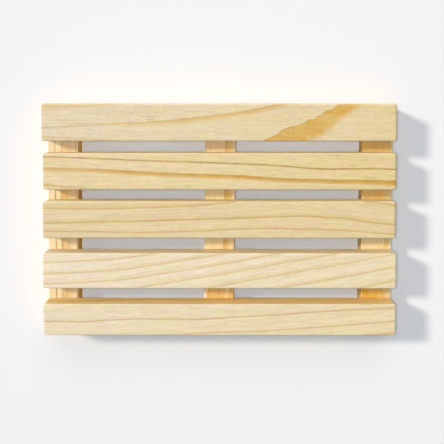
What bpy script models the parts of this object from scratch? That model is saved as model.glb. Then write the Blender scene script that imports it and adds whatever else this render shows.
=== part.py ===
"""Wooden drink coaster in the shape of a small loading pallet.

Five slats lie across three beams. Each crossing is glued and held by one brad,
driven up from the underside of the beam into the slat.

Units are metres and +Z is up. The origin is the middle of the footprint, on the
surface that the beams stand on. +X runs along the slats, and +Y runs across them,
from slat_5 towards slat_1.
"""

import bmesh
import bpy
from mathutils import Vector

# Slats: sawn from thin square-edged strip, so each width differs a little
SLAT_LENGTH = 0.1200
SLAT_THICKNESS = 0.0070
SLAT_1_WIDTH = 0.0127
SLAT_2_WIDTH = 0.0126
SLAT_3_WIDTH = 0.0127
SLAT_4_WIDTH = 0.0125
SLAT_5_WIDTH = 0.0114
SLAT_CORNER_RADIUS = 0.0009

# Open spaces between neighbouring slats
GAP_1_2 = 0.0038
GAP_2_3 = 0.0038
GAP_3_4 = 0.0047
GAP_4_5 = 0.0047

# Beams: three equal strips under the slats, the outer two almost flush with the slat ends
BEAM_WIDTH = 0.0106
BEAM_HEIGHT = 0.0071
BEAM_CORNER_RADIUS = 0.0006
BEAM_SIDE_INSET = 0.00025
BEAM_TIP_INSET = 0.0002
GLUE_LINE = 0.0003

# Brads: flat wire with a small T head, set just below the underside of the beam
BRAD_SHANK_WIDTH = 0.00125
BRAD_SHANK_THICKNESS = 0.0010
BRAD_HEAD_WIDTH = 0.0020
BRAD_HEAD_HEIGHT = 0.0005
BRAD_HEAD_RECESS = 0.0008
BRAD_TIP_LENGTH = 0.0012
BRAD_STAGGER = 0.0015
BRAD_GRIP_SHARE = 0.58
BRAD_POINT_SHARE = 0.30
BRAD_CLEARANCE = 0.0003
CUT_OVERRUN = 0.0010

# Rounding: the top and bottom edges are eased by a share of the upright corners' radius
EDGE_EASING_SHARE = 0.55
CORNER_SEGMENTS = 3
EDGE_SEGMENTS = 2

SLAT_ROWS = (
    ("slat_1", SLAT_1_WIDTH, GAP_1_2),
    ("slat_2", SLAT_2_WIDTH, GAP_2_3),
    ("slat_3", SLAT_3_WIDTH, GAP_3_4),
    ("slat_4", SLAT_4_WIDTH, GAP_4_5),
    ("slat_5", SLAT_5_WIDTH, 0.0),
)

# Heights that follow from the stack of beam, glue line and slat
SLAT_UNDERSIDE = BEAM_HEIGHT + GLUE_LINE
TOTAL_DEPTH = sum(width + gap for _, width, gap in SLAT_ROWS)
BRAD_TIP_Z = SLAT_UNDERSIDE + SLAT_THICKNESS * BRAD_GRIP_SHARE


def clear_scene():
    """Remove every object that the file opens with."""
    for obj in list(bpy.data.objects):
        bpy.data.objects.remove(obj, do_unlink=True)


def wood_material(name, color, roughness):
    """Plain unvarnished softwood."""
    material = bpy.data.materials.new(name)
    material.use_nodes = True
    shader = material.node_tree.nodes["Principled BSDF"]
    shader.inputs["Base Color"].default_value = (*color, 1.0)
    shader.inputs["Roughness"].default_value = roughness
    return material


def steel_material():
    """Bright drawn wire of the brads."""
    material = wood_material("brad_steel", (0.55, 0.54, 0.52), 0.35)
    shader = material.node_tree.nodes["Principled BSDF"]
    shader.inputs["Metallic"].default_value = 1.0
    return material


def slat_places():
    """Name, width and middle in Y of each slat, from the +Y side to the -Y side."""
    places = []
    edge = TOTAL_DEPTH / 2
    for name, width, gap in SLAT_ROWS:
        places.append((name, width, edge - width / 2))
        edge -= width + gap
    return places


def beam_places():
    """Name and middle in X of each beam."""
    outer = SLAT_LENGTH / 2 - BEAM_SIDE_INSET - BEAM_WIDTH / 2
    return [("beam_left", -outer), ("beam_middle", 0.0), ("beam_right", outer)]


def brad_offset(row):
    """Sideways step of a brad, so that no two neighbours split the same line of grain."""
    return BRAD_STAGGER if row % 2 == 0 else -BRAD_STAGGER


def add_object(name, mesh, material, parent):
    """Link a finished mesh into the scene under the coaster's empty."""
    obj = bpy.data.objects.new(name, mesh)
    bpy.context.scene.collection.objects.link(obj)
    if material is not None:
        mesh.materials.append(material)
    obj.parent = parent
    return obj


def strip_mesh(name, size, corner_radius):
    """A sawn strip centred on its own origin, with rounded corners and eased edges."""
    bm = bmesh.new()
    bmesh.ops.create_cube(bm, size=1.0)
    bmesh.ops.scale(bm, vec=size, verts=bm.verts)
    upright = [e for e in bm.edges if e.verts[0].co.z * e.verts[1].co.z < 0]
    bmesh.ops.bevel(
        bm, geom=upright, offset=corner_radius, affect="EDGES",
        segments=CORNER_SEGMENTS, profile=0.5, material=-1, clamp_overlap=True,
    )
    rims = [e for e in bm.edges if e.verts[0].co.z * e.verts[1].co.z > 0]
    bmesh.ops.bevel(
        bm, geom=rims, offset=corner_radius * EDGE_EASING_SHARE, affect="EDGES",
        segments=EDGE_SEGMENTS, profile=0.5, material=-1, clamp_overlap=True,
    )
    bmesh.ops.recalc_face_normals(bm, faces=bm.faces)
    mesh = bpy.data.meshes.new(name)
    bm.to_mesh(mesh)
    bm.free()
    return mesh


def t_outline(half_head, half_shank, half_point, heights):
    """Outline in YZ of a brad, or of the hole around one: head, shank and tapered point."""
    foot, shoulder, taper, tip = heights
    right = [
        (half_head, foot),
        (half_head, shoulder),
        (half_shank, shoulder),
        (half_shank, taper),
        (half_point, tip),
    ]
    left = [(-y, z) for y, z in reversed(right)]
    return right + left


def add_prism(bm, outline, thickness, place):
    """Extrude a YZ outline along X, with its middle at place (x, y)."""
    x, y = place
    near = [bm.verts.new((x - thickness / 2, y + dy, z)) for dy, z in outline]
    face = bm.faces.new(near)
    grown = bmesh.ops.extrude_face_region(bm, geom=[face])["geom"]
    moved = [v for v in grown if isinstance(v, bmesh.types.BMVert)]
    bmesh.ops.translate(bm, vec=Vector((thickness, 0.0, 0.0)), verts=moved)


def prisms_mesh(name, outline, thickness, places):
    """One mesh that holds a like prism at every place."""
    bm = bmesh.new()
    for place in places:
        add_prism(bm, outline, thickness, place)
    bmesh.ops.recalc_face_normals(bm, faces=bm.faces)
    mesh = bpy.data.meshes.new(name)
    bm.to_mesh(mesh)
    bm.free()
    return mesh


def brad_outline():
    """The brad itself, at the height where it is driven."""
    heights = (
        BRAD_HEAD_RECESS,
        BRAD_HEAD_RECESS + BRAD_HEAD_HEIGHT,
        BRAD_TIP_Z - BRAD_TIP_LENGTH,
        BRAD_TIP_Z,
    )
    half_shank = BRAD_SHANK_WIDTH / 2
    return t_outline(BRAD_HEAD_WIDTH / 2, half_shank, half_shank * BRAD_POINT_SHARE, heights)


def hole_outline():
    """The hole that a brad makes: its own outline plus the clearance, open at the underside."""
    heights = (
        -CUT_OVERRUN,
        BRAD_HEAD_RECESS + BRAD_HEAD_HEIGHT + BRAD_CLEARANCE,
        BRAD_TIP_Z - BRAD_TIP_LENGTH + BRAD_CLEARANCE,
        BRAD_TIP_Z + BRAD_CLEARANCE,
    )
    half_shank = BRAD_SHANK_WIDTH / 2 + BRAD_CLEARANCE
    half_head = BRAD_HEAD_WIDTH / 2 + BRAD_CLEARANCE
    half_point = BRAD_SHANK_WIDTH / 2 * BRAD_POINT_SHARE + BRAD_CLEARANCE
    return t_outline(half_head, half_shank, half_point, heights)


def cut_brad_holes(strip, places, parent):
    """Cut the brad holes out of one slat or beam. The places are in the coaster's frame."""
    thickness = BRAD_SHANK_THICKNESS + 2 * BRAD_CLEARANCE
    mesh = prisms_mesh(strip.name + "_holes", hole_outline(), thickness, places)
    cutter = add_object(strip.name + "_holes", mesh, None, parent)
    cutter.hide_render = True
    cutter.display_type = "WIRE"
    cut = strip.modifiers.new("brad_holes", "BOOLEAN")
    cut.operation = "DIFFERENCE"
    cut.solver = "EXACT"
    cut.object = cutter


def add_slats(parent, material):
    """The five slats, each with a blind brad hole over every beam."""
    for row, (name, width, middle) in enumerate(slat_places()):
        size = (SLAT_LENGTH, width, SLAT_THICKNESS)
        mesh = strip_mesh(name, size, SLAT_CORNER_RADIUS)
        slat = add_object(name, mesh, material, parent)
        slat.location = (0.0, middle, SLAT_UNDERSIDE + SLAT_THICKNESS / 2)
        places = [(x + brad_offset(row), middle) for _, x in beam_places()]
        cut_brad_holes(slat, places, parent)


def add_beams(parent, material):
    """The three beams, each with a brad hole right through it under every slat."""
    size = (BEAM_WIDTH, TOTAL_DEPTH - 2 * BEAM_TIP_INSET, BEAM_HEIGHT)
    for name, x in beam_places():
        mesh = strip_mesh(name, size, BEAM_CORNER_RADIUS)
        beam = add_object(name, mesh, material, parent)
        beam.location = (x, 0.0, BEAM_HEIGHT / 2)
        places = [(x + brad_offset(row), y) for row, (_, _, y) in enumerate(slat_places())]
        cut_brad_holes(beam, places, parent)


def add_brads(parent, material):
    """One brad at each crossing of a slat and a beam."""
    outline = brad_outline()
    for beam_name, x in beam_places():
        side = beam_name.removeprefix("beam_")
        for row, (_, _, y) in enumerate(slat_places()):
            name = f"brad_{side}_{row + 1}"
            mesh = prisms_mesh(name, outline, BRAD_SHANK_THICKNESS, [(0.0, 0.0)])
            brad = add_object(name, mesh, material, parent)
            brad.location = (x + brad_offset(row), y, 0.0)


def main():
    """Build the coaster at the origin."""
    clear_scene()
    coaster = bpy.data.objects.new("coaster", None)
    bpy.context.scene.collection.objects.link(coaster)
    add_slats(coaster, wood_material("pine_slats", (0.79, 0.66, 0.42), 0.62))
    add_beams(coaster, wood_material("pine_beams", (0.74, 0.57, 0.32), 0.66))
    add_brads(coaster, steel_material())


main()
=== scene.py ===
"""Visual model of a wooden drink coaster in the shape of a small loading pallet.

Five planed pine slats lie across three sawn pine beams, and a flat wire brad driven up
from below holds each crossing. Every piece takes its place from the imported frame.

Meshes are in metres, in the frame's axes: +X along the slats, +Y across them towards
slat_1, +Z up. Wood materials work in millimetres in the strip's own axes: along the
grain, across it, and down from the upper face.
"""

import logging
import math
import random
from collections.abc import Iterable
from dataclasses import dataclass, field
from enum import Enum

import bmesh
import bpy
from mathutils import Matrix, Vector, noise


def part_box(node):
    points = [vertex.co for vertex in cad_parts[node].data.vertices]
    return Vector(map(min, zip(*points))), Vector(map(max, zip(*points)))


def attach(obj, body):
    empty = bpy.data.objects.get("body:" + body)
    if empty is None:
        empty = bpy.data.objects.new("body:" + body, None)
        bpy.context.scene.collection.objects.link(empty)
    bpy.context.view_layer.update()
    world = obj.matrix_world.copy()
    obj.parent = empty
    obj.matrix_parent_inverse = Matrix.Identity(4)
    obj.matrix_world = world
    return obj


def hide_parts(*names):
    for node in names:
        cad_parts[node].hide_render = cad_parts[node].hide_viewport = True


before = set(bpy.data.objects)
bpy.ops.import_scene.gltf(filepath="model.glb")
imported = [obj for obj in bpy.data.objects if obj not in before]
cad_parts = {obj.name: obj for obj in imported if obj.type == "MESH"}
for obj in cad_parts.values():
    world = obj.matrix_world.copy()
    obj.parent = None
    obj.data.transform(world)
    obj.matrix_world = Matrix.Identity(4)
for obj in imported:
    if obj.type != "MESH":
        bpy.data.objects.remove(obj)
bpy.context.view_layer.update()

LOG = logging.getLogger("coaster")

BODY = "root"
MILLIMETRES = 1000.0
SIDES = ("left", "middle", "right")
ROWS = range(1, 6)

# Rings are drawn in a window this wide across the strip, so that they can run off its edges
RING_WINDOW_MM = 32.0

# Edges that turn by more than this stay crisp
CRISP_ANGLE = math.radians(40)

# Distance in metres within which a cutting plane takes a vertex as its own
CUT_TOLERANCE = 1e-7

# A face counts as facing along an axis when its normal has this share of it
FACING_SHARE = 0.9

# How far the noise of the worn shapes is spread about its middle value of a half
NOISE_SPREAD = 0.7

# Steps through that noise which keep two sides, or the ripple and the crook, from being alike
SIDE_STEP = 5.0
RIPPLE_STEP = 9.0

Socket = bpy.types.NodeSocket
Tree = bpy.types.NodeTree
Material = bpy.types.Material
Piece = bpy.types.Object
Shape = bmesh.types.BMesh
Rgb = tuple[float, float, float]
Point2 = tuple[float, float]
Curve = tuple[Point2, ...]
Span = tuple[float, ...]
Source = Socket | float | tuple | Vector


def srgb(red: int, green: int, blue: int) -> Rgb:
    """Turn an 8-bit sRGB colour into the linear values that a shader socket holds.

    Args:
        red: Red from 0 to 255.
        green: Green from 0 to 255.
        blue: Blue from 0 to 255.

    Returns:
        The linear colour.
    """
    def linear(channel: int) -> float:
        """Undo the sRGB curve for one channel.

        Args:
            channel: The channel from 0 to 255.

        Returns:
            Its linear value.
        """
        share = channel / 255
        if share <= 0.04045:
            return share / 12.92
        return ((share + 0.055) / 1.055) ** 2.4

    return linear(red), linear(green), linear(blue)


class Grain(Enum):
    """Turn about Z that takes +X onto the way the fibres run."""

    ALONG_X = 0.0
    ALONG_Y = math.pi / 2

    def lay(self, size: Vector) -> Vector:
        """Give a box's size as length along the fibres, width and thickness."""
        return Vector((size.y, size.x, size.z)) if self is Grain.ALONG_Y else size


class Flank(Enum):
    """Side of every growth ring of a strip, across it, where the dark wood stops sharply."""

    PLUS = 1.0
    MINUS = -1.0


@dataclass(frozen=True)
class Weave:
    """Noise pattern: cycles per millimetre along the grain and across it, finer layers, their weight."""

    along: float
    across: float
    layers: float = 2.0
    weight: float = 0.5


# Patterns of the wood
SLOW_WANDER = Weave(0.055, 0.16, 3.0, 0.6)
QUICK_WANDER = Weave(0.40, 1.9, 3.0, 0.6)
FINE_FIBRE = Weave(0.16, 1.9, 4.0, 0.68)
BROAD_FIBRE = Weave(0.045, 0.80, 2.0, 0.55)
PATCHES = Weave(0.03, 0.12, 1.0)
BLUSHES = Weave(0.16, 0.42)
CANAL_SPOTS = Weave(0.20, 2.6, 0.0)
CANAL_CROWDS = Weave(0.05, 0.14, 1.0)
GRIT = Weave(0.95, 1.5, 4.0, 0.75)
SAW_WOBBLE = Weave(0.4, 0.5, 1.0)
SAW_BITE = Weave(1.0, 1.7)
# Spreads the painted highlight along the arrises unevenly
ARRIS_HIGHLIGHT_BREAKUP = Weave(0.5, 0.9)

# Patterns of the wire and, per metre, of the sheet
DIE_MARKS = Weave(0.5, 14.0, 3.0)
DULL_FILM = Weave(0.9, 0.9, 3.0, 0.6)
SHEET_MOTTLE = Weave(9.0, 9.0)


class Graph:
    """Short way to write one shader node tree."""

    def __init__(self, tree: Tree) -> None:
        """Keep the tree that the nodes go into."""
        self.tree = tree

    def node(self, kind: str, **settings: object) -> bpy.types.Node:
        """Add a node.

        Args:
            kind: Blender's name of the node type.
            settings: Plain properties to set on it.

        Returns:
            The new node.
        """
        node = self.tree.nodes.new(kind)
        for name, value in settings.items():
            setattr(node, name, value)
        return node

    def feed(self, socket: Socket, source: Source) -> None:
        """Give an input its value.

        Args:
            socket: The input.
            source: An output to link, or a plain value. A plain colour has three numbers.
        """
        if isinstance(source, Socket):
            self.tree.links.new(source, socket)
        elif socket.type == "RGBA":
            socket.default_value = (*source, 1.0)
        else:
            socket.default_value = source

    def fill(self, node: bpy.types.Node, **sources: Source) -> bpy.types.Node:
        """Give a node's inputs their values by name.

        Args:
            node: The node.
            sources: The values, with underscores for the spaces in the inputs' names.

        Returns:
            The same node.
        """
        for name, source in sources.items():
            self.feed(node.inputs[name.replace("_", " ")], source)
        return node

    def wire(self, node: bpy.types.Node, *sources: Source) -> bpy.types.Node:
        """Give a node's first inputs their values in order.

        Args:
            node: The node.
            sources: The values.

        Returns:
            The same node.
        """
        for socket, source in zip(node.inputs, sources):
            self.feed(socket, source)
        return node

    def math(self, operation: str, *sources: Source, clamp: bool = False) -> Socket:
        """Add a Math node with one to three inputs. Clamped, its result stays between 0 and 1."""
        node = self.node("ShaderNodeMath", operation=operation, use_clamp=clamp)
        return self.wire(node, *sources).outputs[0]

    def times(self, first: Source, second: Source, clamp: bool = False) -> Socket:
        """Multiply two numbers."""
        return self.math("MULTIPLY", first, second, clamp=clamp)

    def add(self, start: Source, value: Source, share: Source, clamp: bool = False) -> Socket:
        """Add a share of a value to a start."""
        return self.math("MULTIPLY_ADD", value, share, start, clamp=clamp)

    def from_half(self, value: Source) -> Socket:
        """Say how far a value lies above a half."""
        return self.math("SUBTRACT", value, 0.5)

    def vector(self, operation: str, *sources: Source) -> Socket:
        """Add a Vector Math node, whose result is a number for a dot product."""
        node = self.wire(self.node("ShaderNodeVectorMath", operation=operation), *sources)
        return node.outputs["Value" if operation == "DOT_PRODUCT" else "Vector"]

    def ramp(
        self, value: Source, start: Source, end: Source, low: float = 0.0, high: float = 1.0,
        smooth: bool = True,
    ) -> Socket:
        """Map a value from one range to another and clamp it there.

        Args:
            value: The value.
            start: Where the result is low.
            end: Where the result is high.
            low: Result at the start.
            high: Result at the end.
            smooth: Whether the change eases in and out.

        Returns:
            The mapped value.
        """
        kind = "SMOOTHSTEP" if smooth else "LINEAR"
        node = self.node("ShaderNodeMapRange", interpolation_type=kind, clamp=True)
        return self.wire(node, value, start, end, low, high).outputs["Result"]

    def noise(self, vector: Source, weave: Weave) -> Socket:
        """Noise that is stretched along the grain.

        Args:
            vector: Coordinates in millimetres.
            weave: The pattern.

        Returns:
            The noise value, about 0.5 on average.
        """
        scaled = self.vector("MULTIPLY", vector, (weave.along, weave.across, weave.across))
        node = self.node("ShaderNodeTexNoise", noise_dimensions="3D")
        self.fill(node, Vector=scaled, Scale=1.0, Detail=weave.layers, Roughness=weave.weight)
        return node.outputs["Fac"]

    def mix(self, factor: Source, first: Source, second: Source, blend: str = "MIX") -> Socket:
        """Blend two colours.

        Args:
            factor: Share of the second colour.
            first: First colour.
            second: Second colour.
            blend: The node's blend type.

        Returns:
            The blended colour.
        """
        node = self.node("ShaderNodeMix", data_type="RGBA", blend_type=blend)
        self.fill(node, Factor=factor)
        for socket, source in zip((s for s in node.inputs if s.type == "RGBA"), (first, second)):
            self.feed(socket, source)
        return next(s for s in node.outputs if s.type == "RGBA")

    def parts(self, vector: Source) -> tuple[Socket, ...]:
        """Split a vector into its three numbers."""
        return tuple(self.wire(self.node("ShaderNodeSeparateXYZ"), vector).outputs)

    def join(self, *numbers: Source) -> Socket:
        """Join three numbers into a vector."""
        return self.wire(self.node("ShaderNodeCombineXYZ"), *numbers).outputs[0]

    def group(self, tree: Tree, **sources: Source) -> dict[str, Socket]:
        """Place a node group with its inputs filled, and give its outputs by name."""
        node = self.fill(self.node("ShaderNodeGroup", node_tree=tree), **sources)
        return {socket.name: socket for socket in node.outputs}

    def seen(self) -> Socket:
        """Tell whether the camera sees the surface, directly, in a gloss or through glass.

        Returns:
            1 where it does, otherwise 0.
        """
        rays = self.node("ShaderNodeLightPath").outputs
        direct = self.math("MAXIMUM", rays["Is Camera Ray"], rays["Is Glossy Ray"])
        return self.math("MAXIMUM", direct, rays["Is Transmission Ray"])


class Effect(Graph):
    """A shader node group with named inputs and outputs, built once and shared by the materials."""

    def __init__(self, name: str, vectors: Iterable[str] = (), numbers: Iterable[str] = ()) -> None:
        """Start the group.

        Args:
            name: The group's name.
            vectors: Names of the inputs that are vectors.
            numbers: Names of the inputs that are numbers.
        """
        super().__init__(bpy.data.node_groups.new(name, "ShaderNodeTree"))
        for kind, labels in (("Vector", vectors), ("Float", numbers)):
            for label in labels:
                self.tree.interface.new_socket(label, in_out="INPUT", socket_type=f"NodeSocket{kind}")
        self.given = self.node("NodeGroupInput").outputs

    def give(self, **results: Source) -> Tree:
        """Hand out the results.

        Args:
            results: The outputs, which are all numbers.

        Returns:
            The finished group.
        """
        for label in results:
            self.tree.interface.new_socket(label, in_out="OUTPUT", socket_type="NodeSocketFloat")
        self.fill(self.node("NodeGroupOutput"), **results)
        return self.tree


class Surface(Graph):
    """Node tree of one material, round its Principled shader."""

    def __init__(self, name: str) -> None:
        """Start the material.

        Args:
            name: The material's name.
        """
        self.material = bpy.data.materials.new(name)
        self.material.use_nodes = True
        super().__init__(self.material.node_tree)
        self.shader = self.tree.nodes["Principled BSDF"]
        self.coordinates = self.node("ShaderNodeTexCoord").outputs

    def in_millimetres(self, turn: Source, shift: Source = (0.0, 0.0, 0.0)) -> Socket:
        """Give the object's coordinates in millimetres.

        Args:
            turn: How they are turned first, about X, Y and Z.
            shift: How they are moved then.

        Returns:
            The coordinates.
        """
        mapping = self.node("ShaderNodeMapping", vector_type="POINT")
        scale = (MILLIMETRES,) * 3
        self.fill(mapping, Vector=self.coordinates["Object"], Scale=scale, Rotation=turn, Location=shift)
        return mapping.outputs["Vector"]

    def bump(self, height: Source, strength: float, distance: float) -> None:
        """Let a height show in the shading, at a strength and a distance in metres for a height of 1."""
        node = self.fill(self.node("ShaderNodeBump"), Height=height, Strength=strength, Distance=distance)
        self.fill(self.shader, Normal=node.outputs["Normal"])


# Share of a ring's thickness in which its sharp flank ends
FLANK_SHARE = 0.45
# What the rings' quick wander counts for beside their slow one
QUICK_SHARE = 1.1
# Noise values between which resin canals, and the places where they crowd, come in
CANAL_SPAN = (0.63, 0.75)
CROWD_SPAN = (0.40, 0.66)
# How far a face turns before it counts as cut across the grain, as upright, or as the side that takes
# painted light and shade
END_SPAN = (0.55, 0.92)
UPRIGHT_SPAN = (0.35, 0.80, 1.0, 0.0)
PAINTED_SIDE_SPAN = (-0.3, 0.3, 0.35, 1.0)
# The saw's marks: how they slant, how close they stand, and how far they wander
SAW_SLANT = 0.22
SAW_RATE = 17.0
SAW_STRAY = 6.0
# How unevenly the painted highlight along the arrises spreads
RAGGED_SPAN = (0.3, 0.7, 0.5, 1.4)


def growth_ring_effect() -> Tree:
    """Band of latewood that darkens slowly from one side and stops sharply at the other.

    Rings are chained: each takes the masks so far and adds its own.

    Returns:
        The node group.
    """
    g = Effect("growth_ring", numbers=(
        "Across", "Line", "Offset", "Sharp Side", "Fade", "Core", "Thickness",
        "Amber", "Depth", "Band So Far", "Edge So Far",
    ))
    given, thickness = g.given, g.given["Thickness"]
    place = g.add(given["Offset"], g.from_half(given["Line"]), RING_WINDOW_MM)
    beyond = g.times(g.math("SUBTRACT", given["Across"], place), given["Sharp Side"])
    inside = g.math("DIVIDE", g.times(beyond, -1.0), given["Fade"])
    soft = g.ramp(inside, given["Core"], 1.0, 1.0, 0.0)
    sharp = g.ramp(beyond, g.times(thickness, FLANK_SHARE), 0.0)
    band = g.times(g.times(soft, sharp), given["Amber"])
    off_line = g.math("ABSOLUTE", g.math("ADD", beyond, g.times(thickness, 0.5)))
    edge = g.times(g.ramp(off_line, thickness, 0.0), given["Depth"])
    return g.give(
        Band=g.math("MAXIMUM", band, given["Band So Far"]),
        Edge=g.math("MAXIMUM", edge, given["Edge So Far"]),
    )


def next_ring_effect() -> Tree:
    """Offset of the nearest ring beyond the outermost drawn one, for the faces the top doesn't show.

    Returns:
        The node group.
    """
    g = Effect("next_ring", numbers=("Across", "Line", "Away", "Spacing"))
    given = g.given
    place = g.times(g.from_half(given["Line"]), RING_WINDOW_MM)
    beyond = g.times(g.math("SUBTRACT", given["Across"], place), given["Away"])
    count = g.math("MAXIMUM", g.math("ROUND", g.math("DIVIDE", beyond, given["Spacing"])), 1.0)
    return g.give(Offset=g.times(count, g.times(given["Spacing"], given["Away"])))


def ring_field_effect() -> Tree:
    """Place across the rings of a point anywhere in the strip.

    The rings lean and bend as they go down, and wander a little, so that a line on the
    upper face carries on over the side and end faces.

    Returns:
        The node group.
    """
    g = Effect("ring_field", ("Vector",), ("Lean", "Bend", "Wander", "Seed"))
    given = g.given
    along, across, height = g.parts(given["Vector"])
    deep = g.times(height, -1.0)
    leaning = g.add(across, deep, given["Lean"])
    bent = g.add(leaning, g.times(deep, deep), given["Bend"])
    seeded = g.vector("ADD", given["Vector"], g.join(given["Seed"], given["Seed"], 0.0))
    slow = g.from_half(g.noise(seeded, SLOW_WANDER))
    stray = g.add(slow, g.from_half(g.noise(seeded, QUICK_WANDER)), QUICK_SHARE)
    return g.give(Along=along, Across=g.add(bent, stray, given["Wander"]), Deep=deep)


def fibre_effect() -> Tree:
    """Fibres of pine: fine and broad streaks, and short dark resin canals.

    Returns:
        The node group.
    """
    g = Effect("pine_fibre", ("Vector",), ("Seed",))
    seed = g.given["Seed"]
    seeded = g.vector("ADD", g.given["Vector"], g.join(seed, 0.0, seed))
    spots = g.ramp(g.noise(seeded, CANAL_SPOTS), *CANAL_SPAN)
    crowd = g.ramp(g.noise(seeded, CANAL_CROWDS), *CROWD_SPAN)
    return g.give(
        Fine=g.noise(seeded, FINE_FIBRE), Broad=g.noise(seeded, BROAD_FIBRE),
        Patch=g.noise(seeded, PATCHES), Blush=g.noise(seeded, BLUSHES),
        Canals=g.times(spots, crowd), Grit=g.noise(seeded, GRIT),
    )


def end_grain_effect() -> Tree:
    """Where a face is cut across the fibres or stands upright along them and turns to the side given for
    painted light and shade, and the saw's marks.

    Returns:
        The node group.
    """
    g = Effect("end_grain", ("Vector", "Normal", "Grain Axis", "Stained Side"))
    given, normal = g.given, g.given["Normal"]
    facing = g.math("ABSOLUTE", g.vector("DOT_PRODUCT", normal, given["Grain Axis"]))
    level = g.math("ABSOLUTE", g.vector("DOT_PRODUCT", normal, (0.0, 0.0, 1.0)))
    upright = g.ramp(g.math("MAXIMUM", facing, level), *UPRIGHT_SPAN)
    turned = g.vector("DOT_PRODUCT", normal, given["Stained Side"])
    _, across, height = g.parts(given["Vector"])
    slanted = g.add(across, height, SAW_SLANT)
    phase = g.add(g.times(g.noise(given["Vector"], SAW_WOBBLE), SAW_STRAY), slanted, SAW_RATE)
    wave = g.add(0.5, g.math("SINE", phase), 0.5)
    return g.give(
        Mask=g.ramp(facing, *END_SPAN), Side=g.times(upright, g.ramp(turned, *PAINTED_SIDE_SPAN)),
        Saw=g.times(wave, g.noise(given["Vector"], SAW_BITE)),
    )


def arris_effect() -> Tree:
    """How near a point is to the nearest outside edge of its strip, for a painted highlight along the
    arrises.

    Returns:
        The node group.
    """
    g = Effect("painted_arris_highlight", ("Vector", "Half Size"), ("Reach",))
    given = g.given
    a, b, c = g.parts(g.vector("SUBTRACT", given["Half Size"], g.vector("ABSOLUTE", given["Vector"])))
    lower, upper = g.math("MINIMUM", a, b), g.math("MAXIMUM", a, b)
    second = g.math("MAXIMUM", lower, g.math("MINIMUM", upper, c))
    ragged = g.times(given["Reach"], g.ramp(g.noise(given["Vector"], ARRIS_HIGHLIGHT_BREAKUP), *RAGGED_SPAN))
    return g.give(Mask=g.ramp(second, 0.0, ragged, 1.0, 0.0))


@dataclass(frozen=True)
class Effects:
    """The node groups that the materials share."""

    ring: Tree = field(default_factory=growth_ring_effect)
    next_ring: Tree = field(default_factory=next_ring_effect)
    field_of_rings: Tree = field(default_factory=ring_field_effect)
    fibre: Tree = field(default_factory=fibre_effect)
    end_grain: Tree = field(default_factory=end_grain_effect)
    arris: Tree = field(default_factory=arris_effect)


@dataclass(frozen=True)
class Ring:
    """One growth ring on the upper face. Places and widths are in millimetres.

    A number that changes along the strip is a curve: places along it, each with the number there.
    """

    path: Curve
    fade: float | Curve
    amber: float | Curve
    depth: float | Curve
    thickness: float = 0.45
    core_share: float = 0.2
    copies: tuple[float, ...] = (0.0,)


@dataclass(frozen=True)
class RingPen:
    """Draws growth rings into the material of one strip, in millimetres from its middle."""

    graph: Graph
    effects: Effects
    along: Source
    across: Source
    length: float

    def curve(self, path: Curve) -> Socket:
        """Draw a path as a curve over the strip's length.

        Args:
            path: Points of the curve, along the strip and across it.

        Returns:
            Place of the curve across the strip, as a share of the ring window.
        """
        node = self.graph.node("ShaderNodeFloatCurve")
        self.graph.fill(node, Value=self.graph.add(0.5, self.along, 1.0 / self.length))
        points = node.mapping.curves[0].points
        while len(points) < len(path):
            points.new(0.5, 0.5)
        for point, (u, v) in zip(points, path):
            point.location = (u / self.length + 0.5, v / RING_WINDOW_MM + 0.5)
            point.handle_type = "AUTO_CLAMPED"
        node.mapping.update()
        return node.outputs["Value"]

    def amount(self, value: float | Curve) -> Source:
        """Give one of a ring's numbers.

        Args:
            value: The number, or its curve where it changes along the strip.

        Returns:
            The number, or the output that holds it.
        """
        if not isinstance(value, tuple):
            return value
        return self.graph.times(self.graph.from_half(self.curve(value)), RING_WINDOW_MM)

    def draw(
        self, rings: tuple[Ring, ...], flank: Flank, spacing: float
    ) -> tuple[Socket, Socket, Socket]:
        """Chain every ring of the strip, and the unseen ones on either side of them.

        Args:
            rings: The rings, from the +Y side or, on a beam, from the -X side.
            flank: Their sharp side.
            spacing: How far apart the unseen ones stand.

        Returns:
            The band mask, the edge mask and the path of the middle ring.
        """
        g = self.graph
        band, edge = 0.0, 0.0
        lines = [self.curve(ring.path) for ring in rings]
        amounts = {ring: [self.amount(n) for n in (ring.fade, ring.amber, ring.depth)] for ring in rings}
        placed = [(ring, line, offset) for ring, line in zip(rings, lines) for offset in ring.copies]
        for away, ring, line in ((1.0, rings[0], lines[0]), (-1.0, rings[-1], lines[-1])):
            last = max(ring.copies) if away > 0 else min(ring.copies)
            shifted = g.math("ADD", line, last / RING_WINDOW_MM)
            beyond = g.group(
                self.effects.next_ring, Across=self.across, Line=shifted, Away=away, Spacing=spacing
            )
            placed.append((ring, shifted, beyond["Offset"]))
        for ring, line, offset in placed:
            fade, amber, depth = amounts[ring]
            out = g.group(
                self.effects.ring, Across=self.across, Line=line, Offset=offset, Sharp_Side=flank.value,
                Fade=fade, Core=ring.core_share, Thickness=ring.thickness,
                Amber=amber, Depth=depth, Band_So_Far=band, Edge_So_Far=edge,
            )
            band, edge = out["Band"], out["Edge"]
        return band, edge, lines[len(lines) // 2]


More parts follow.
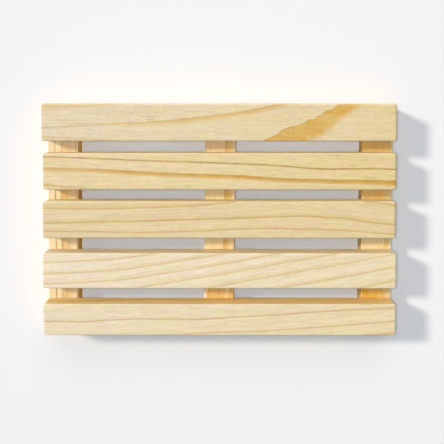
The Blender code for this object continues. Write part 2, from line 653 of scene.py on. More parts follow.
@dataclass(frozen=True)
class PineTouch:
    """What the pine of every strip has in common. Tints multiply the wood's colour."""

    bend: float = 0.02
    fine_strength: Span = (0.25, 0.75, 0.45, 1.25)
    blush_strength: Span = (0.3, 0.7, 0.75, 1.1)
    fine_share: float = 2.6
    broad_share: float = 1.3
    grit_share: float = 1.6
    blue_power: float = 1.9
    blush_span: Span = (0.3, 0.7)
    green_blush: Rgb = (0.995, 1.01, 0.92)
    pink_blush: Rgb = (1.005, 0.985, 1.05)
    patch_span: Span = (0.3, 0.7, 0.0, 0.35)
    patch_tint: Rgb = (1.0, 0.985, 0.93)
    end_share: float = 0.85
    end_tint: Rgb = (0.74, 0.58, 0.42)
    saw_share: float = 0.45
    saw_tint: Rgb = (0.80, 0.70, 0.55)
    # Painted highlight along the arrises: how far it reaches, how much of it mixes in, and its colour
    arris_highlight_reach: float = 0.7
    arris_highlight_share: float = 0.30
    arris_highlight_tone: Rgb = (1.0, 0.93, 0.76)
    band_roughness: float = -0.10
    fine_roughness: float = 0.12
    end_roughness: float = 0.15
    specular: float = 0.3
    fine_height: float = 0.9
    band_height: float = 0.5
    canal_height: float = -1.2
    saw_height: float = 1.4
    grit_height: float = 0.35
    bump: Point2 = (0.35, 0.00006)


@dataclass(frozen=True)
class PineFinish:
    """Bare pine of one strip: its tones, its rings and how they run through the wood, with painted light and
    shade on its upright side faces.
    """

    name: str
    pale: Rgb
    amber: Rgb
    dark: Rgb
    rings: tuple[Ring, ...]
    seed: float
    lean: float
    spacing: float
    # Tint for the upright side faces, strongest on those turned to the given side: painted light and shade,
    # not the wood's own colour
    side_tint: Rgb
    far_tint: Rgb
    flank: Flank = Flank.PLUS
    streaks: float = 0.16
    wander: float = 0.35
    follow: float = 1.0
    canals: float = 0.25
    # Side whose upright faces take the most painted light and shade
    stained_side: tuple[float, float, float] = (0.0, 1.0, 0.0)
    roughness: float = 0.62
    grain: Grain = Grain.ALONG_X
    touch: PineTouch = PineTouch()

    def make(self, effects: Effects, low: Vector, high: Vector) -> Material:
        """Build the material for the strip that fills a box.

        Args:
            effects: The shared node groups.
            low: Lowest corner of the strip in metres.
            high: Highest corner of the strip in metres.

        Returns:
            The material.
        """
        g, touch, angle = Surface(self.name), self.touch, self.grain.value
        half = self.grain.lay((high - low) / 2 * MILLIMETRES)
        middle = (low + high) / 2 * MILLIMETRES
        centred = g.in_millimetres((0.0, 0.0, -angle), -(Matrix.Rotation(-angle, 4, "Z") @ middle))
        from_top = g.vector("SUBTRACT", centred, (0.0, 0.0, half.z))

        place = g.group(
            effects.field_of_rings, Vector=from_top, Lean=self.lean, Bend=touch.bend,
            Wander=self.wander, Seed=self.seed,
        )
        pen = RingPen(g, effects, place["Along"], place["Across"], 2 * half.x)
        band, edge, guide = pen.draw(self.rings, self.flank, self.spacing)
        flow = g.add(place["Across"], guide, -RING_WINDOW_MM * self.follow)
        grown = g.join(place["Along"], flow, place["Deep"])
        fibre = g.group(effects.fibre, Vector=grown, Seed=self.seed)
        ends = g.group(
            effects.end_grain, Vector=centred, Normal=g.coordinates["Normal"],
            Grain_Axis=Matrix.Rotation(angle, 3, "Z") @ Vector((1.0, 0.0, 0.0)),
            Stained_Side=self.stained_side,
        )
        edge_highlight = g.group(effects.arris, Vector=centred, Half_Size=half, Reach=touch.arris_highlight_reach)

        strength = g.times(
            g.ramp(fibre["Fine"], *touch.fine_strength, smooth=False),
            g.ramp(fibre["Blush"], *touch.blush_strength, smooth=False),
        )
        band = g.times(band, strength, clamp=True)
        edge = g.times(edge, strength, clamp=True)
        canals = g.times(fibre["Canals"], self.canals)
        saw = g.times(ends["Saw"], ends["Mask"])
        tone = g.mix(band, self.pale, self.amber)
        for mask in (edge, canals):
            tone = g.mix(mask, tone, self.dark)

        shade = g.times(g.from_half(fibre["Fine"]), self.streaks * touch.fine_share)
        shade = g.add(shade, g.from_half(fibre["Broad"]), self.streaks * touch.broad_share)
        grit = g.add(1.0, g.from_half(fibre["Grit"]), self.streaks * touch.grit_share)
        shade = g.math("ADD", shade, grit)
        for mask, tint in (
            (1.0, g.join(shade, shade, g.math("POWER", shade, touch.blue_power))),
            (1.0, g.mix(g.ramp(fibre["Blush"], *touch.blush_span), touch.green_blush, touch.pink_blush)),
            (g.ramp(fibre["Patch"], *touch.patch_span), touch.patch_tint),
            (g.ramp(place["Along"], -half.x, half.x, smooth=False), self.far_tint),
            # Painted light and shade on the upright side faces
            (ends["Side"], self.side_tint),
            (g.times(ends["Mask"], touch.end_share), touch.end_tint),
            (g.times(saw, touch.saw_share), touch.saw_tint),
        ):
            tone = g.mix(mask, tone, tint, "MULTIPLY")
        # Painted highlight along the arrises, uneven along them
        tone = g.mix(g.times(edge_highlight["Mask"], touch.arris_highlight_share), tone, touch.arris_highlight_tone)

        rough = g.add(self.roughness, band, touch.band_roughness)
        rough = g.add(rough, fibre["Fine"], touch.fine_roughness)
        rough = g.add(rough, ends["Mask"], touch.end_roughness, clamp=True)
        g.fill(g.shader, Base_Color=tone, Roughness=rough, Specular_IOR_Level=touch.specular)
        raised = g.times(fibre["Fine"], touch.fine_height)
        for value, height in (
            (band, touch.band_height), (canals, touch.canal_height), (saw, touch.saw_height),
            (fibre["Grit"], touch.grit_height),
        ):
            raised = g.add(raised, value, height)
        g.bump(raised, *touch.bump)
        return g.material


@dataclass(frozen=True)
class SteelFinish:
    """Drawn steel wire, with lengthwise die marks and a dull film."""

    name: str = "drawn_brad_wire"
    bright: Rgb = (0.66, 0.65, 0.63)
    dull: Rgb = (0.36, 0.34, 0.31)
    film_span: Span = (0.4, 0.72, 0.0, 0.8)
    roughness: float = 0.32
    film_roughness: float = 0.25
    mark_roughness: float = 0.12
    bump: Point2 = (0.25, 0.00002)

    def make(self) -> Material:
        """Build the material, whose die marks run up the wire.

        Returns:
            The material.
        """
        g = Surface(self.name)
        along_wire = g.in_millimetres((0.0, math.pi / 2, 0.0))
        marks = g.noise(along_wire, DIE_MARKS)
        film = g.ramp(g.noise(along_wire, DULL_FILM), *self.film_span)
        rough = g.add(self.roughness, film, self.film_roughness)
        rough = g.add(rough, marks, self.mark_roughness, clamp=True)
        g.fill(g.shader, Base_Color=g.mix(film, self.bright, self.dull), Metallic=1.0, Roughness=rough)
        g.bump(marks, *self.bump)
        return g.material


@dataclass(frozen=True)
class PaperFinish:
    """Smooth pale sheet that the coaster lies on."""

    name: str = "studio_sheet"
    tone: Rgb = (0.920, 0.920, 0.920)
    mottle: Rgb = (0.910, 0.910, 0.910)
    roughness: float = 0.9
    specular: float = 0.0
    glow: float = 0.10

    def make(self) -> Material:
        """Build the material, which glows a little where the camera sees it.

        Returns:
            The material.
        """
        g = Surface(self.name)
        tone = g.mix(g.noise(g.coordinates["Object"], SHEET_MOTTLE), self.tone, self.mottle)
        g.fill(g.shader, Base_Color=tone, Roughness=self.roughness, Specular_IOR_Level=self.specular)
        lit = g.fill(g.node("ShaderNodeEmission"), Color=self.tone)
        paper, glow = g.shader.outputs["BSDF"], lit.outputs["Emission"]
        blend = g.wire(g.node("ShaderNodeMixShader"), g.times(g.seen(), self.glow), paper, glow)
        g.fill(g.tree.nodes["Material Output"], Surface=blend.outputs["Shader"])
        return g.material


# Each slat's side tint paints light and shade on its +Y side face: painted shade on most slats, painted
# light on slat_3
SLAT_PINE = (
    PineFinish(
        "pine_slat_1", srgb(230, 213, 181), srgb(214, 166, 52), srgb(170, 132, 66),
        (
            Ring(
                ((-60, 7.5), (-30, 7.6), (0, 9.0), (60, 15.0)),
                fade=((-60, 4.3), (-50, 3.7), (-40, 2.6), (-20, 1.5), (60, 1.5)),
                amber=0.45, depth=0.0, thickness=0.3, core_share=0.6,
            ),
            Ring(
                ((-60, -1.4), (-37, -0.3), (-20.7, 0.5), (-7, 1.85), (3.7, 3.2), (13.3, 4.85), (24, 7.4),
                 (60, 15.5)),
                fade=((-60, 0.8), (-40, 1.0), (-27, 1.8), (-10, 2.3), (60, 2.3)),
                amber=((-60, 0.25), (-35, 0.4), (-20, 0.55), (0, 0.68), (60, 0.7)), depth=0.25,
            ),
            Ring(
                ((-60, -4.6), (-40, -5.6), (-24, -7.6), (0, -11), (60, -15.5)),
                fade=1.6, amber=0.35, depth=0.1,
            ),
            Ring(
                ((-60, -15.5), (8, -8.6), (15.3, -5.9), (19.4, -4.0), (21.6, -2.2), (24.4, -1.2),
                 (28.2, -0.3), (29.6, 0.8), (31.8, 1.2), (33.1, 2.2), (34.4, 2.5), (35.5, 3.6), (37.4, 4.2),
                 (39.3, 5.7), (43, 7.6), (60, 15.5)),
                fade=((-60, 9.0), (20, 9.4), (34, 9.0), (40, 7.4), (44, 6.2), (52, 5.0), (60, 4.0)),
                amber=((-60, 1.0), (32, 1.0), (40, 0.95), (48, 0.82), (60, 0.7)),
                depth=0.4, thickness=0.3, core_share=0.5,
            ),
        ),
        seed=11.0, lean=1.1, wander=1.1, spacing=23.0, follow=0.35, canals=0.35,
        side_tint=(1.0, 0.90, 0.72), far_tint=(1.0, 0.945, 0.76),
    ),
    PineFinish(
        "pine_slat_2", srgb(234, 213, 169), srgb(213, 154, 20), srgb(160, 120, 34),
        (
            Ring(
                ((-60, 5.2), (-43, 4.6), (-27, 3.9), (-4.4, 3.2), (19, 2.2), (36, 1.05), (48, 1.1),
                 (60, 0.9)),
                fade=0.8, amber=0.35,
                depth=((-60, 0.68), (-10, 0.74), (20, 0.84), (60, 0.84)), thickness=0.44,
            ),
            Ring(
                ((-60, 1.3), (-43, 0.9), (-28.6, 0.1), (-9.9, -0.8), (6.5, -1.3), (20, -2.3), (36, -2.7),
                 (52, -2.9), (60, -3.3)),
                fade=((-60, 1.8), (36, 1.8), (48, 2.05), (60, 2.2)),
                amber=((-60, 0.5), (-45, 0.58), (-25, 0.8), (-8, 0.92), (60, 0.9)),
                depth=((-60, 0.25), (-30, 0.35), (-8, 0.42), (60, 0.42)), thickness=0.6, core_share=0.4,
            ),
            Ring(
                ((-60, -4.1), (-53.7, -4.8), (-46, -5.4), (-30, -7.0), (60, -9.5)),
                fade=1.3, amber=((-60, 0.4), (-50, 0.3), (-40, 0.1), (60, 0.1)), depth=0.3,
            ),
        ),
        seed=23.0, lean=0.55, spacing=6.6, side_tint=(1.055, 0.92, 0.73),
        far_tint=(0.95, 0.93, 0.78),
    ),
    PineFinish(
        "pine_slat_3", srgb(230, 209, 168), srgb(219, 179, 104), srgb(186, 143, 68),
        (
            Ring(
                ((-60, 3.7), (-45.5, 3.5), (-27, 3.9), (-12.6, 4.4), (1, 5.4), (14, 7.0), (30, 7.4),
                 (48, 6.1), (53.7, 5.5), (60, 4.5)), fade=2.2, amber=0.55, depth=0.45,
            ),
            Ring(
                ((-60, -1.4), (-13.6, -0.25), (3.7, 0.3), (20, 0.9), (27.4, 1.1), (36, 0.65), (45, 0.05),
                 (50.6, -0.95), (60, -1.9)), fade=1.9, amber=0.42, depth=0.62,
            ),
            Ring(
                ((-60, -4.1), (-45, -4.2), (-30, -4.5), (-13.6, -4.25), (15.6, -3.15), (27.4, -3.4),
                 (39, -3.6), (48, -4.2), (60, -5.2)), fade=1.5, amber=0.35, depth=0.55,
            ),
        ),
        flank=Flank.MINUS, seed=37.0, lean=-0.5, spacing=4.6, streaks=0.15,
        side_tint=(1.16, 1.24, 1.14), far_tint=(1.0, 0.98, 0.90),
    ),
    PineFinish(
        "pine_slat_4", srgb(240, 225, 198), srgb(228, 198, 140), srgb(204, 168, 104),
        (
            Ring(
                ((-60, -4.9), (-47, -4.3), (-33.7, -3.4), (-21.8, -1.7), (-9.9, 0.2), (2.4, 2.25),
                 (11.9, 4.1), (21.4, 5.8), (37.7, 8.6), (60, 12.9)),
                fade=2.0, amber=0.48, depth=0.46, copies=(7.3, 3.4, 0.0, -3.45, -7.3, -11.8, -16.6),
            ),
        ),
        flank=Flank.MINUS, seed=41.0, lean=-0.8, spacing=4.0,
        side_tint=(1.0, 0.945, 0.85), far_tint=(0.965, 0.945, 0.84),
    ),
    PineFinish(
        "pine_slat_5", srgb(236, 220, 188), srgb(222, 188, 130), srgb(192, 154, 92),
        (
            Ring(
                ((-60, -1.1), (-48, -1.2), (-37.7, -0.6), (-27, -0.2), (-7, -0.3), (2.4, 0.3), (17.3, 1.1),
                 (33.3, 2.3), (45, 3.0), (60, 3.6)),
                fade=1.2, amber=0.35, depth=0.62, thickness=0.4,
            ),
            Ring(
                ((-60, -7.1), (-29.9, -6.3), (-16.7, -5.8), (-1.7, -4.8), (11.9, -4.4), (31.6, -3.2),
                 (60, -0.9)), fade=1.2, amber=0.35, depth=0.55, thickness=0.4,
            ),
            Ring(
                ((-60, -10.8), (10, -8.3), (45, -6.2), (60, -5.0)),
                fade=1.4, amber=0.5, depth=0.5,
            ),
        ),
        flank=Flank.MINUS, seed=53.0, lean=0.4, spacing=7.6,
        side_tint=(1.02, 0.84, 0.50), far_tint=(0.99, 0.955, 0.85),
    ),
)


def sawn_pine(
    name: str, pale: Rgb, amber: Rgb, dark: Rgb, rings: tuple[Ring, ...], **looks: float | Rgb
) -> PineFinish:
    """A beam's pine: rough from the saw, with its fibres along Y and one tone from end to end.

    Args:
        name: The finish's name.
        pale: Colour of the wood between the rings.
        amber: Colour of the rings' bands.
        dark: Colour of their sharp edges and of the resin canals.
        rings: The growth rings.
        looks: The finish's other values.

    Returns:
        The finish.
    """
    return PineFinish(
        name, pale, amber, dark, rings, far_tint=(1.0, 1.0, 1.0), roughness=0.7, grain=Grain.ALONG_Y, **looks
    )


# Each beam's side tint darkens and warms one upright side face: painted shade
BEAM_PINE = (
    sawn_pine(
        "pine_beam_left", srgb(242, 224, 184), srgb(219, 180, 106), srgb(152, 108, 48),
        (
            Ring(
                ((-39, 2.9), (-10, 2.6), (25, 2.7), (39, 2.8)),
                fade=0.9, amber=((-39, 0.5), (10, 0.6), (22, 0.3), (39, 0.3)),
                depth=((-39, 0.7), (10, 0.75), (22, 0.3), (39, 0.3)), thickness=0.35,
            ),
            Ring(
                ((-39, 0.9), (-10, 0.6), (10, 0.9), (39, 1.0)),
                fade=0.9, amber=((-39, 0.45), (10, 0.5), (22, 0.15), (39, 0.15)),
                depth=((-39, 0.3), (10, 0.3), (22, 0.1), (39, 0.1)), thickness=0.35,
            ),
            Ring(
                ((-39, 0.3), (-25.7, 0.2), (-8.5, 0.2), (8.5, 0.3), (24.8, 0.2), (39, 0.2)),
                fade=((-39, 6.0), (-25.7, 5.5), (-8.5, 5.0), (8.5, 7.5), (20, 6.0), (39, 5.0)),
                amber=((-39, 0.76), (-25.7, 0.76), (-8.5, 0.78), (8.5, 0.95), (18, 0.52), (39, 0.4)),
                depth=0.35,
            ),
        ),
        seed=61.0, lean=0.7, spacing=4.8, streaks=0.12, stained_side=(1.0, 0.0, 0.0),
        side_tint=(1.12, 0.78, 0.29),
    ),
    sawn_pine(
        "pine_beam_middle", srgb(240, 216, 166), srgb(225, 181, 93), srgb(164, 120, 54),
        (
            Ring(((-39, 8.0), (0, 5.2), (39, 4.6)), fade=1.2, amber=0.1, depth=0.1),
            Ring(
                ((-39, 4.6), (-25.7, 4.0), (-18, -1.0), (-8.5, -1.4), (8.5, -1.7), (24.8, -2.1),
                 (39, -2.2)),
                fade=((-39, 9.5), (-25.7, 9.0), (-18, 2.6), (-8.5, 2.3), (8.5, 2.9), (39, 3.0)),
                amber=0.95, depth=0.3, core_share=0.5,
            ),
        ),
        seed=67.0, lean=-0.6, spacing=3.8, streaks=0.12, stained_side=(1.0, 0.0, 0.0),
        side_tint=(1.0, 0.80, 0.48),
    ),
    sawn_pine(
        "pine_beam_right", srgb(236, 215, 165), srgb(224, 168, 24), srgb(160, 116, 46),
        (
            Ring(
                ((-39, 6.0), (-25.7, 5.6), (-17, 1.0), (-8.5, -3.0), (8.5, -3.6), (39, -3.6)),
                fade=((-39, 12.0), (-25.7, 11.6), (-15, 2.6), (-8.5, 2.0), (8.5, 2.2), (39, 2.2)),
                amber=((-39, 1.0), (-22, 1.0), (-12, 0.52), (-6, 0.48), (39, 0.9)),
                depth=0.1, core_share=0.55,
            ),
            Ring(
                ((-39, -15.0), (-20, -9.5), (-6.3, -5.6), (6.2, 5.4), (12, 5.6), (39, 5.6)),
                fade=((-39, 1.0), (-20, 1.0), (-6.3, 1.0), (6.2, 11.8), (39, 12.0)),
                amber=((-39, 0.7), (8.5, 0.68), (22, 0.76), (39, 0.76)), depth=0.1, core_share=0.6,
            ),
        ),
        seed=71.0, lean=0.5, spacing=12.0, streaks=0.15, stained_side=(-1.0, 0.0, 0.0),
        side_tint=(1.0, 0.86, 0.60),
    ),
)


def block(size: Vector) -> Shape:
    """Make a plain box about the origin.

    Args:
        size: Its length, width and height.

    Returns:
        The box.
    """
    bm = bmesh.new()
    bmesh.ops.create_cube(bm, size=1.0)
    bmesh.ops.scale(bm, vec=size, verts=bm.verts)
    return bm


def slice_mesh(bm: Shape, axis: int, places: Iterable[float]) -> None:
    """Cut a mesh with planes square to an axis, and keep both sides.

    Args:
        bm: The mesh.
        axis: 0, 1 or 2 for X, Y or Z.
        places: Where each plane crosses the axis.
    """
    normal = Vector((0.0, 0.0, 0.0))
    normal[axis] = 1.0
    for place in places:
        everything = bm.verts[:] + bm.edges[:] + bm.faces[:]
        bmesh.ops.bisect_plane(
            bm, geom=everything, dist=CUT_TOLERANCE, plane_co=normal * place, plane_no=normal
        )


def round_edges(bm: Shape, edges: list[bmesh.types.BMEdge], radius: float, segments: int) -> None:
    """Round some edges of a mesh.

    Args:
        bm: The mesh.
        edges: The edges.
        radius: How far the rounding reaches from each edge.
        segments: How many strips of faces it is made of.
    """
    bmesh.ops.bevel(
        bm, geom=edges, offset=radius, affect="EDGES", segments=segments, profile=0.5, material=-1,
        clamp_overlap=True,
    )


def link(name: str, data: bpy.types.ID) -> bpy.types.Object:
    """Put an object into the scene.

    Args:
        name: The object's name.
        data: Its mesh, lamp or camera.

    Returns:
        The object.
    """
    thing = bpy.data.objects.new(name, data)
    bpy.context.scene.collection.objects.link(thing)
    return thing


def set_down(name: str, bm: Shape) -> Piece:
    """Turn a shape into an object at the origin.

    Args:
        name: The object's name.
        bm: The shape, which is freed.

    Returns:
        The object.
    """
    mesh = bpy.data.meshes.new(name)
    bm.to_mesh(mesh)
    bm.free()
    return link(name, mesh)


def soften(piece: Piece) -> None:
    """Shade a piece smooth, with its sharp edges left crisp."""
    piece.data.shade_smooth()
    piece.data.set_sharp_from_angle(angle=CRISP_ANGLE)


def add_piece(name: str, bm: Shape) -> Piece:
    """Turn a finished shape into a piece with its faces outward.

    Args:
        name: The piece's name.
        bm: The shape, which is freed.

    Returns:
        The piece.
    """
    bmesh.ops.recalc_face_normals(bm, faces=bm.faces)
    piece = set_down(name, bm)
    soften(piece)
    return piece


def unit_noise(*place: float) -> float:
    """Smooth noise between 0 and 1 at a place."""
    return min(max(noise.noise(Vector(place)) * NOISE_SPREAD + 0.5, 0.0), 1.0)


@dataclass(frozen=True)
class Brad:
    """Flat wire brad with a T head, and the slot that it makes. Sizes in metres."""

    shank_width: float = 0.00125
    head_height: float = 0.0005
    tip_length: float = 0.0012
    point_share: float = 0.30
    edge_radius: float = 0.00006
    edge_angle: float = math.radians(30)
    edge_segments: int = 2
    slot_clearance: float = 0.00003

    def solid(self, low: Vector, high: Vector, grow: float, foot: float) -> Shape:
        """Shape of the brad, or of its slot.

        Args:
            low: Lowest corner of the brad's box.
            high: Highest corner of the brad's box.
            grow: How far every face stands off the brad's own.
            foot: Height at which the shape starts.

        Returns:
            The shape, in its place.
        """
        middle = (low + high) / 2
        width = self.shank_width + 2 * grow
        top = high.z + grow
        bm = block(Vector((high.x - low.x + 2 * grow, width, top - foot)))
        bmesh.ops.translate(bm, vec=Vector((middle.x, middle.y, (top + foot) / 2)), verts=bm.verts)
        shoulder = low.z + self.head_height + grow
        taper = high.z - self.tip_length
        slice_mesh(bm, 2, (shoulder, taper))
        flanks = [f for f in bm.faces if abs(f.normal.y) > FACING_SHARE]
        head = [f for f in flanks if f.calc_center_median().z < shoulder]
        reach = (high.y - low.y) / 2 + grow - width / 2
        for face in bmesh.ops.extrude_discrete_faces(bm, faces=head)["faces"]:
            outward = Vector((0.0, math.copysign(reach, face.normal.y), 0.0))
            bmesh.ops.translate(bm, vec=outward, verts=face.verts)
        for vert in bm.verts:
            if vert.co.z > taper + (top - taper) / 2:
                vert.co.y = middle.y + (vert.co.y - middle.y) * self.point_share
        bmesh.ops.recalc_face_normals(bm, faces=bm.faces)
        return bm

    def build(self, node: str) -> Piece:
        """Model the brad in the place of its CAD node.

        Args:
            node: The node's name.

        Returns:
            The brad.
        """
        low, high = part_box(node)
        bm = self.solid(low, high, 0.0, low.z)
        sharp = [e for e in bm.edges if e.calc_face_angle(0.0) > self.edge_angle]
        round_edges(bm, sharp, self.edge_radius, self.edge_segments)
        return add_piece(node + "_wire", bm)


def cut_slots(piece: Piece, brad: Brad, nodes: Iterable[str]) -> None:
    """Cut the slots of some brads out of a strip.

    Args:
        piece: The strip.
        brad: The kind of brad.
        nodes: Names of the brads' CAD nodes.
    """
    for node in nodes:
        low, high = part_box(node)
        cutter = set_down("slot", brad.solid(low, high, brad.slot_clearance, -low.z))
        cut = piece.modifiers.new("slot", "BOOLEAN")
        cut.operation = "DIFFERENCE"
        cut.solver = "EXACT"
        cut.object = cutter
        graph = bpy.context.evaluated_depsgraph_get()
        whole, hole = piece.data, cutter.data
        piece.data = bpy.data.meshes.new_from_object(piece.evaluated_get(graph))
        piece.modifiers.clear()
        piece.data.name = whole.name
        bpy.data.meshes.remove(whole)
        bpy.data.objects.remove(cutter, do_unlink=True)
        bpy.data.meshes.remove(hole)
    soften(piece)


@dataclass(frozen=True)
class Strip:
    """A strip of pine: a bar with rounded corners and eased arrises, not quite true.

    Sizes are in metres, and the rates of its faults in cycles per metre. The higher a
    power, the closer to the face or the end its fault keeps.
    """

    grain: Grain
    corner_radius: float
    arris_radius: float
    seed: float
    end_trim: Point2 = (0.0, 0.0)
    end_skew: Point2 = (0.0, 0.0)
    lean: float = 0.0
    turn: float = 0.0
    crook: float = 0.00012
    crook_rate: float = 22.0
    ripple: float = 0.00003
    ripple_rates: Point2 = (60.0, 160.0)
    ripple_power: int = 4
    end_roughness: float = 0.00005
    end_rate: float = 700.0
    end_power: int = 12
    nicks: int = 5
    nick_reach_share: float = 0.47
    nick_radii: Point2 = (0.0006, 0.0014)
    nick_depths: Point2 = (0.00004, 0.00011)
    station_pitch: float = 0.0008
    hold: float = 0.00012
    corner_segments: int = 6
    arris_segments: int = 4
    lanes: int = 6

    def bar(self, size: Vector) -> Shape:
        """The true bar, along X about the origin, sliced finely enough to be worn.

        Args:
            size: Length, width and thickness.

        Returns:
            The bar.
        """
        bm = block(size)
        upright = [e for e in bm.edges if e.verts[0].co.z * e.verts[1].co.z < 0]
        round_edges(bm, upright, self.corner_radius, self.corner_segments)
        rims = [e for e in bm.edges if e.verts[0].co.z * e.verts[1].co.z > 0]
        round_edges(bm, rims, self.arris_radius, self.arris_segments)
        inset = self.corner_radius + self.hold
        end = size.x / 2 - inset
        slice_mesh(bm, 0, (-end, end))
        long_edges = [e for e in bm.edges if e.calc_length() > size.x / 2]
        cuts = round(2 * end / self.station_pitch)
        bmesh.ops.subdivide_edges(bm, edges=long_edges, cuts=cuts, use_grid_fill=True)
        side = size.y / 2 - inset
        slice_mesh(bm, 1, (side * (2 * lane / self.lanes - 1) for lane in range(self.lanes + 1)))
        level = size.z / 2 - self.arris_radius - self.hold
        slice_mesh(bm, 2, (-level, 0.0, level))
        return bm

    def dents(self, size: Vector) -> list[tuple[Vector, float, float]]:
        """Choose where the arrises were knocked.

        Args:
            size: Length, width and thickness of the bar.

        Returns:
            Middle, radius and depth of each dent.
        """
        dice = random.Random(self.seed)
        found = []
        for _ in range(self.nicks):
            along = dice.uniform(-self.nick_reach_share, self.nick_reach_share) * size.x
            across = dice.choice((-0.5, 0.5)) * size.y
            middle = Vector((along, across, size.z / 2))
            found.append((middle, dice.uniform(*self.nick_radii), dice.uniform(*self.nick_depths)))
        return found

    def wear(self, bm: Shape, size: Vector) -> None:
        """Move the bar's vertices to where real stock would have them, never outside the bar.

        Args:
            bm: The bar.
            size: Its length, width and thickness.
        """
        half = size / 2
        dents = self.dents(size)
        ripple_along, ripple_across = self.ripple_rates
        for vert in bm.verts:
            s, t, h = vert.co
            side, end = math.copysign(1.0, t), math.copysign(1.0, s)
            bow = unit_noise(s * self.crook_rate, side * SIDE_STEP, self.seed) * self.crook
            step = Vector((0.0, -t / half.y * bow, 0.0))
            step.y -= self.lean * (0.5 + h / size.z) * max(t / half.y, 0.0)
            if h > 0:
                wave = unit_noise(s * ripple_along, t * ripple_across, self.seed + RIPPLE_STEP)
                step.z = -self.ripple * wave * (h / half.z) ** self.ripple_power
            near_end = (abs(s) / half.x) ** self.end_power
            rough = unit_noise(t * self.end_rate, h * self.end_rate, self.seed + end) * self.end_roughness
            which = 0 if s < 0 else 1
            skew = self.end_skew[which] * (0.5 - t / size.y)
            step.x = -end * (near_end * rough + (abs(s) / half.x) * (self.end_trim[which] + skew))
            for middle, radius, depth in dents:
                far = (vert.co - middle).length / radius
                if far < 1.0:
                    inward = Vector((0.0, -side, -1.0)).normalized()
                    step += inward * depth * (1.0 - far * far) ** 2
            vert.co += step

    def build(self, name: str, low: Vector, high: Vector) -> Piece:
        """Model the strip so that it fills a box.

        Args:
            name: Name of the piece.
            low: Lowest corner.
            high: Highest corner.

        Returns:
            The strip.
        """
        size = self.grain.lay(high - low)
        bm = self.bar(size)
        self.wear(bm, size)
        turn = Matrix.Rotation(self.grain.value + self.turn, 4, "Z")
        place = Matrix.Translation((low + high) / 2) @ turn
        bmesh.ops.transform(bm, matrix=place, verts=bm.verts)
        return add_piece(name, bm)


def planed(
    seed: float, trim: Point2, skew: Point2 = (0.0, 0.0), arris: float = 0.00045, lean: float = 0.0
) -> Strip:
    """A slat's strip: planed all round, its ends cut by a fine saw.

    Args:
        seed: Tells one strip's faults from another's.
        trim: How far the -X and +X ends fall short.
        skew: How much further they fall short on the -Y side.
        arris: Radius of the eased edges.
        lean: How far the +Y side leans in at its upper edge.

    Returns:
        The strip.
    """
    return Strip(Grain.ALONG_X, 0.00088, arris, seed, end_trim=trim, end_skew=skew, lean=lean)


@dataclass(frozen=True)
class SlatDeck:
    """The five slats that a cup stands on."""

    effects: Effects
    brad: Brad
    strips: tuple[Strip, ...] = (
        planed(1.3, (0.00015, 0.00045)),
        planed(2.7, (0.0005, 0.0004)),
        planed(4.1, (0.0002, 0.0004)),
        planed(5.9, (0.0, 0.0), arris=0.00040, lean=0.00025),
        planed(7.2, (0.0, 0.0), (0.00015, 0.0), arris=0.00035, lean=0.00050),
    )
    finishes: tuple[PineFinish, ...] = SLAT_PINE

    def build(self) -> list[Piece]:
        """Model every slat, with a blind slot over each beam.

        Returns:
            The slats.
        """
        made = []
        for row, strip, finish in zip(ROWS, self.strips, self.finishes):
            node = f"slat_{row}"
            low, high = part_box(node)
            piece = strip.build(node + "_planed", low, high)
            cut_slots(piece, self.brad, (f"brad_{side}_{row}" for side in SIDES))
            self.dress(piece, node, finish.make(self.effects, low, high))
            made.append(piece)
        return made

    def dress(self, piece: Piece, node: str, wood: Material) -> None:
        """Give a slat its wood and its place in the frame.

        Args:
            piece: The slat.
            node: The CAD node that it stands for.
            wood: The material.
        """
        piece.data.materials.clear()
        piece.data.materials.append(wood)
        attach(piece, BODY)
        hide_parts(node)


@dataclass(frozen=True)
class BeamSet:
    """The three beams, which are the coaster's feet too. Each slip is a shift along X and a turn."""

    effects: Effects
    brad: Brad
    corner_radius: float = 0.0006
    arris_radius: float = 0.0004
    crook: float = 0.00010
    end_roughness: float = 0.00006
    nicks: int = 3
    first_seed: float = 17.0
    glue_gap: float = 0.00002
    slips: tuple[Point2, ...] = (
        (0.00015, math.radians(-0.5)), (0.00010, math.radians(-0.6)), (0.00020, 0.0)
    )
    finishes: tuple[PineFinish, ...] = BEAM_PINE

    def build(self) -> list[Piece]:
        """Model every beam up to the glued underside of the slats, with its brad slots.

        Returns:
            The beams.
        """
        made = []
        slat_low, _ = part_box("slat_1")
        for count, (side, (slip, turn), finish) in enumerate(zip(SIDES, self.slips, self.finishes)):
            node = f"beam_{side}"
            low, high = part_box(node)
            high.z = slat_low.z - self.glue_gap
            strip = Strip(
                Grain.ALONG_Y, self.corner_radius, self.arris_radius, self.first_seed + count, turn=turn,
                crook=self.crook, ripple=0.0, end_roughness=self.end_roughness, nicks=self.nicks,
            )
            aside = Vector((slip, 0.0, 0.0))
            piece = strip.build(node + "_sawn", low + aside, high + aside)
            cut_slots(piece, self.brad, (f"brad_{side}_{row}" for row in ROWS))
            self.dress(piece, node, finish.make(self.effects, low, high))
            made.append(piece)
        return made

    def dress(self, piece: Piece, node: str, wood: Material) -> None:
        """Give a beam its wood and its place in the frame.

        Args:
            piece: The beam.
            node: The CAD node that it stands for.
            wood: The material.
        """
        piece.data.materials.clear()
        piece.data.materials.append(wood)
        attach(piece, BODY)
        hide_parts(node)


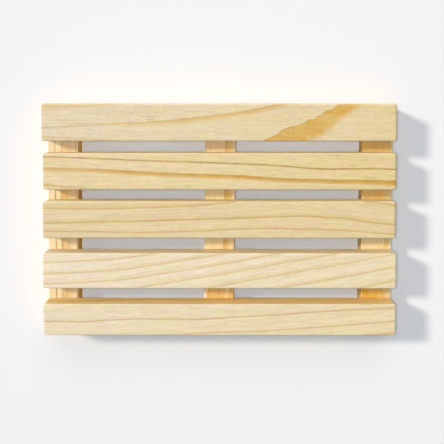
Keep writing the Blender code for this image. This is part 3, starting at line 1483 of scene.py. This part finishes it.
@dataclass(frozen=True)
class BradSet:
    """The fifteen brads that hold the crossings."""

    brad: Brad
    finish: SteelFinish = SteelFinish()

    def build(self) -> list[Piece]:
        """Model every brad.

        Returns:
            The brads.
        """
        steel = self.finish.make()
        made = []
        for side in SIDES:
            for row in ROWS:
                node = f"brad_{side}_{row}"
                piece = self.brad.build(node)
                self.dress(piece, node, steel)
                made.append(piece)
        return made

    def dress(self, piece: Piece, node: str, steel: Material) -> None:
        """Give a brad its steel and its place in the frame.

        Args:
            piece: The brad.
            node: The CAD node that it stands for.
            steel: The material.
        """
        piece.data.materials.append(steel)
        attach(piece, BODY)
        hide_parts(node)


def hang_lamp(name: str, kind: str, energy: float, tint: Rgb) -> bpy.types.Object:
    """Add a lamp to the scene.

    Args:
        name: Its name.
        kind: Blender's name of the kind.
        energy: How bright it is.
        tint: Its colour.

    Returns:
        The lamp.
    """
    data = bpy.data.lights.new(name, kind)
    data.energy = energy
    data.color = tint
    return link(name, data)


@dataclass(frozen=True)
class Lamp:
    """A far lamp, wide enough to blur its shadows."""

    name: str
    toward: tuple[float, float, float]
    strength: float
    angle: float
    tint: Rgb

    def hang(self) -> None:
        """Add the lamp to the scene."""
        lamp = hang_lamp(self.name, "SUN", self.strength, self.tint)
        lamp.data.angle = self.angle
        lamp.rotation_mode = "QUATERNION"
        lamp.rotation_quaternion = Vector(self.toward).to_track_quat("Z", "Y")


@dataclass(frozen=True)
class NearLamp:
    """A round lamp close above the coaster, as bright at its ends as in the middle."""

    name: str
    place: tuple[float, float, float]
    power: float
    radius: float
    tint: Rgb

    def hang(self) -> None:
        """Add the lamp to the scene, with a light that doesn't weaken over the distance."""
        lamp = hang_lamp(self.name, "POINT", self.power, self.tint)
        lamp.data.shadow_soft_size = self.radius
        lamp.data.use_nodes = True
        g = Graph(lamp.data.node_tree)
        falloff = g.fill(g.node("ShaderNodeLightFalloff"), Strength=1.0)
        g.fill(g.tree.nodes["Emission"], Strength=falloff.outputs["Constant"])
        lamp.location = self.place
        lamp.visible_camera = False


@dataclass(frozen=True)
class Studio:
    """Pale sheet, a low window light, a round light by the camera, an even sky, and the camera."""

    sheet_half: float = 3.0
    sheet_drop: float = 0.00001
    sun: Lamp = Lamp("window_light", (-1.07, 0.48, 1.0), 1.89, math.radians(8.0), (1.08, 1.0, 0.885))
    overhead: NearLamp = NearLamp(
        "overhead_light", (-0.0090, 0.0355, 0.2700), 12.8, 0.014, (0.925, 1.0, 1.10)
    )
    fill: Lamp = Lamp("fill_light", (0.0, 1.2, 1.0), 0.69, math.radians(50.0), (0.955, 1.0, 1.065))
    sky: Rgb = (0.133, 0.140, 0.150)
    backdrop_tone: float = 0.915
    camera_place: tuple[float, float, float] = (0.0016, 0.0355, 0.2574)
    camera_tilt: float = math.radians(3.17)
    camera_pan: float = math.radians(0.16)
    lens: float = 58.7
    sensor: float = 36.0
    shift_y: float = -0.15
    clip: Point2 = (0.01, 20.0)

    def lay_sheet(self) -> None:
        """Lay the sheet under the coaster."""
        bm = bmesh.new()
        bmesh.ops.create_grid(bm, x_segments=1, y_segments=1, size=self.sheet_half)
        bmesh.ops.translate(bm, vec=Vector((0.0, 0.0, -self.sheet_drop)), verts=bm.verts)
        sheet = set_down("studio_sheet", bm)
        sheet.data.materials.append(PaperFinish().make())

    def light(self) -> None:
        """Hang the lamps and set the sky, which the camera sees as the sheet's own white."""
        for lamp in (self.sun, self.overhead, self.fill):
            lamp.hang()
        world = bpy.data.worlds.new("soft_sky")
        bpy.context.scene.world = world
        world.use_nodes = True
        g = Graph(world.node_tree)
        backdrop = (self.backdrop_tone,) * 3
        g.fill(g.tree.nodes["Background"], Color=g.mix(g.seen(), self.sky, backdrop))

    def aim_camera(self) -> None:
        """Place the camera over the coaster, a little to its +Y side."""
        data = bpy.data.cameras.new("camera")
        data.lens = self.lens
        data.sensor_width = self.sensor
        data.shift_y = self.shift_y
        data.clip_start, data.clip_end = self.clip
        camera = link("camera", data)
        camera.location = self.camera_place
        camera.rotation_euler = (-self.camera_tilt, self.camera_pan, 0.0)
        bpy.context.scene.camera = camera

    def set_up(self) -> None:
        """Lay the sheet, light it and aim the camera."""
        self.lay_sheet()
        self.light()
        self.aim_camera()
        bpy.context.scene.view_settings.view_transform = "Standard"


def main() -> None:
    """Build the coaster's sub-assemblies in order, then the studio round them."""
    logging.basicConfig(level=logging.INFO, format="%(name)s: %(message)s")
    effects = Effects()
    brad = Brad()
    for assembly in (BeamSet(effects, brad), SlatDeck(effects, brad), BradSet(brad)):
        for piece in assembly.build():
            LOG.info("%s: %d faces", piece.name, len(piece.data.polygons))
    Studio().set_up()


if __name__ == "__main__":
    main()
